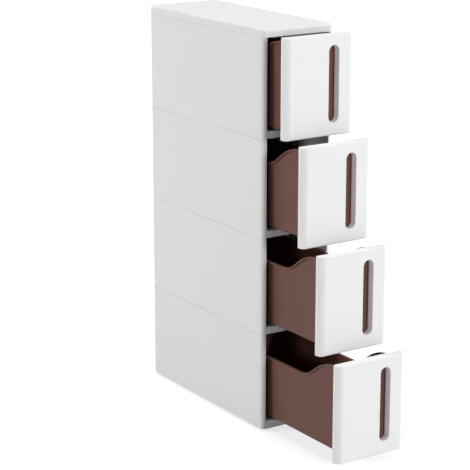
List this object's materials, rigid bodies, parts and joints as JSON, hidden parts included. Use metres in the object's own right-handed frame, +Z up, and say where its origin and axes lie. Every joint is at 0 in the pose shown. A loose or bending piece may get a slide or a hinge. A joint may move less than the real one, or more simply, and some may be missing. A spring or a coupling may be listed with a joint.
{
  "type": "slim drawer tower",
  "caption": "Slim free-standing plastic tower with deep pull-out drawers in a stack of tiers, each with a slotted front cover, on small recessed wheels.",
  "frame": {"origin": "middle of the tower's bounding box at the ground, with the drawers pulled out in steps as in the picture", "axes": "+X to the right seen from the drawers, +Y from the drawer fronts to the back, +Z up"},
  "size_m": [0.175, 0.715, 0.863],
  "materials": {
    "case": "fine satin grain, white",
    "front": "smooth semi-gloss, white",
    "tray": "fine satin grain, cocoa brown",
    "wheel": "smooth moulded, white",
    "axle": "drawn steel pin"
  },
  "bodies": {
    "cabinet": {"top_cover": "case", "left_panel_1": "case", "left_panel_2": "case", "left_panel_3": "case", "left_panel_4": "case", "right_panel_1": "case", "right_panel_2": "case", "right_panel_3": "case", "right_panel_4": "case", "back_panel_1": "case", "back_panel_2": "case", "back_panel_3": "case", "back_panel_4": "case", "shelf_1": "case", "shelf_2": "case", "shelf_3": "case", "base_frame": "case", "axle_front_left": "axle", "axle_front_right": "axle", "axle_rear_left": "axle", "axle_rear_right": "axle"},
    "drawer_1": {"tray_1": "tray", "front_1": "front"},
    "drawer_2": {"tray_2": "tray", "front_2": "front"},
    "drawer_3": {"tray_3": "tray", "front_3": "front"},
    "drawer_4": {"tray_4": "tray", "front_4": "front"},
    "front_left_wheel": {"wheel_front_left": "wheel"},
    "front_right_wheel": {"wheel_front_right": "wheel"},
    "rear_left_wheel": {"wheel_rear_left": "wheel"},
    "rear_right_wheel": {"wheel_rear_right": "wheel"}
  },
  "joints": [
    {"name": "drawer_1_slide", "type": "slide", "parent": "cabinet", "child": "drawer_1", "axis": [0, -1, 0], "range_m": [-0.0565, 0.2435]},
    {"name": "drawer_2_slide", "type": "slide", "parent": "cabinet", "child": "drawer_2", "axis": [0, -1, 0], "range_m": [-0.1198, 0.1802]},
    {"name": "drawer_3_slide", "type": "slide", "parent": "cabinet", "child": "drawer_3", "axis": [0, -1, 0], "range_m": [-0.1831, 0.1168]},
    {"name": "drawer_4_slide", "type": "slide", "parent": "cabinet", "child": "drawer_4", "axis": [0, -1, 0], "range_m": [-0.2465, 0.0535]},
    {"name": "front_left_wheel_spin", "type": "hinge", "parent": "cabinet", "child": "front_left_wheel", "pos_m": [-0.062, -0.0525, 0.012], "axis": [1, 0, 0], "continuous": true},
    {"name": "front_right_wheel_spin", "type": "hinge", "parent": "cabinet", "child": "front_right_wheel", "pos_m": [0.062, -0.0525, 0.012], "axis": [1, 0, 0], "continuous": true},
    {"name": "rear_left_wheel_spin", "type": "hinge", "parent": "cabinet", "child": "rear_left_wheel", "pos_m": [-0.062, 0.3175, 0.012], "axis": [1, 0, 0], "continuous": true},
    {"name": "rear_right_wheel_spin", "type": "hinge", "parent": "cabinet", "child": "rear_right_wheel", "pos_m": [0.062, 0.3175, 0.012], "axis": [1, 0, 0], "continuous": true}
  ]
}
